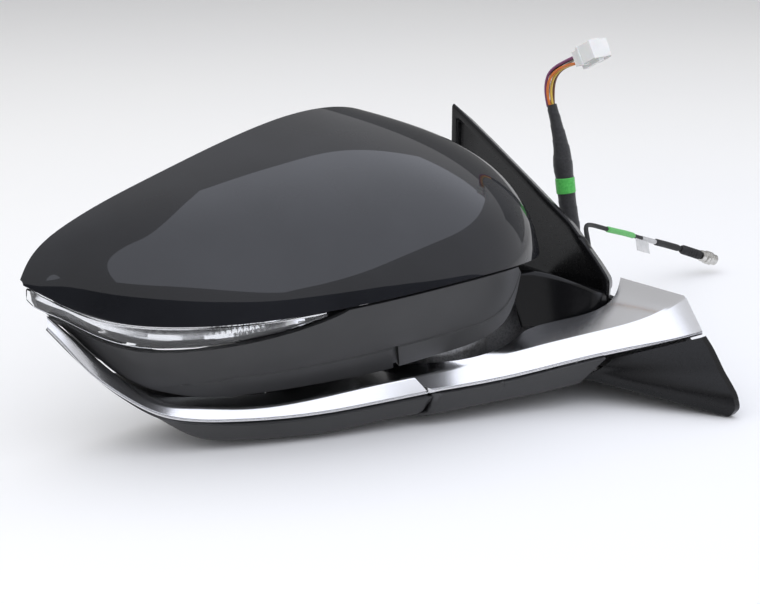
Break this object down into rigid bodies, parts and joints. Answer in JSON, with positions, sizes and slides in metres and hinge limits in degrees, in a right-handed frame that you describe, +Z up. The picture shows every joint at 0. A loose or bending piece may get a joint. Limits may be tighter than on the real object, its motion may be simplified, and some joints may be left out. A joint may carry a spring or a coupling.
{
  "type": "car side mirror",
  "caption": "Powered folding door mirror: teardrop head on a pivot arm, with turn lamp, bright trim, tilting glass, triangular door plate and wiring.",
  "frame": {"origin": "on the door bracket's flat face, level with its middle stud pair", "axes": "+X into the car door, square to the bracket's flat face; +Y towards the back of the car, the way the glass faces; +Z up"},
  "size_m": [0.4878, 0.2009, 0.1757],
  "materials": {
    "cast_alloy": "die cast, unpainted",
    "steel": "plated",
    "gear_metal": "machined",
    "satin_silver": "satin silver finish on moulded plastic",
    "textured_grey": "fine moulded texture",
    "black_cover": "glossy black",
    "dark_paint": "dark grey paint under clear lacquer",
    "rubber": "matte",
    "nylon": "moulded nylon",
    "clear_lens": "clear",
    "reflector": "metallised",
    "circuit_board": "printed board",
    "mirror": "silvered glass",
    "heater_foil": "film",
    "cloth_tape": "woven tape over a wire bundle",
    "white_plastic": "moulded",
    "wire_orange": "insulation",
    "wire_yellow": "insulation",
    "wire_brown": "insulation",
    "wire_violet": "insulation",
    "wire_black": "insulation",
    "wire_grey": "insulation"
  },
  "bodies": {
    "base": {"base_bracket": "cast_alloy", "door_stud_1": "steel", "door_stud_2": "steel", "door_stud_3": "steel", "pivot_post": "steel", "fold_gear": "gear_metal", "post_washer": "steel", "fold_spring": "steel", "arm_trim": "satin_silver", "foot_lower_cover": "textured_grey", "toe_cover": "black_cover", "sail_cover": "black_cover", "neck_cover": "black_cover", "door_gasket": "rubber", "harness_grommet": "rubber", "harness_sleeve": "cloth_tape", "harness_wire_1": "wire_orange", "harness_wire_2": "wire_yellow", "harness_wire_3": "wire_brown", "harness_wire_4": "wire_violet", "harness_wire_5": "wire_black", "harness_wire_6": "wire_grey", "harness_connector": "white_plastic", "camera_lead_grommet": "rubber", "camera_lead": "rubber", "lead_boot": "rubber", "lead_plug": "steel"},
    "head": {"mirror_cap": "dark_paint", "lower_housing": "textured_grey", "lamp_lens": "clear_lens", "lamp_reflector": "reflector", "lamp_board": "circuit_board", "head_trim": "satin_silver", "head_lower_cover": "textured_grey", "glass_surround": "black_cover", "head_frame": "nylon", "frame_screw_1": "steel", "frame_screw_2": "steel", "frame_screw_3": "steel", "fold_drive_case": "nylon", "fold_motor": "steel", "actuator_case": "nylon", "actuator_cover": "nylon", "glass_motor_1": "steel", "glass_motor_2": "steel", "camera_body": "nylon", "camera_lens": "clear_lens", "ground_lamp": "nylon", "ground_lamp_lens": "clear_lens"},
    "worm": {"fold_worm": "steel"},
    "tilt_frame": {"tilt_ring": "steel"},
    "glass": {"glass_carrier": "nylon", "heater_pad": "heater_foil", "mirror_glass": "mirror"},
    "pan_pusher": {"pan_rod": "nylon"},
    "tilt_pusher": {"tilt_rod": "nylon"}
  },
  "joints": [
    {"name": "head_fold", "type": "hinge", "parent": "base", "child": "head", "pos_m": [-0.09, 0.057, 0], "axis": [0, 0, 1], "range_deg": [-60, 28]},
    {"name": "worm_spin", "type": "hinge", "parent": "head", "child": "worm", "pos_m": [-0.1112, 0.05, 0.05], "axis": [0, 1, 0], "range_deg": [-1450, 680]},
    {"name": "glass_pan", "type": "hinge", "parent": "head", "child": "tilt_frame", "pos_m": [-0.166, 0.1085, 0.052], "axis": [0, 0, 1], "range_deg": [-7, 7]},
    {"name": "glass_tilt", "type": "hinge", "parent": "tilt_frame", "child": "glass", "pos_m": [-0.166, 0.1085, 0.052], "axis": [1, 0, 0], "range_deg": [-7, 7]},
    {"name": "pan_push", "type": "slide", "parent": "head", "child": "pan_pusher", "axis": [0, 1, 0], "range_m": [-0.0033, 0.0033]},
    {"name": "tilt_push", "type": "slide", "parent": "head", "child": "tilt_pusher", "axis": [0, 1, 0], "range_m": [-0.0028, 0.0028]}
  ],
  "couplings": [
    {"joint": "worm_spin", "follows": "head_fold", "ratio": 24},
    {"joint": "pan_push", "follows": "glass_pan", "m_per_rad": -0.026},
    {"joint": "tilt_push", "follows": "glass_tilt", "m_per_rad": 0.022}
  ]
}
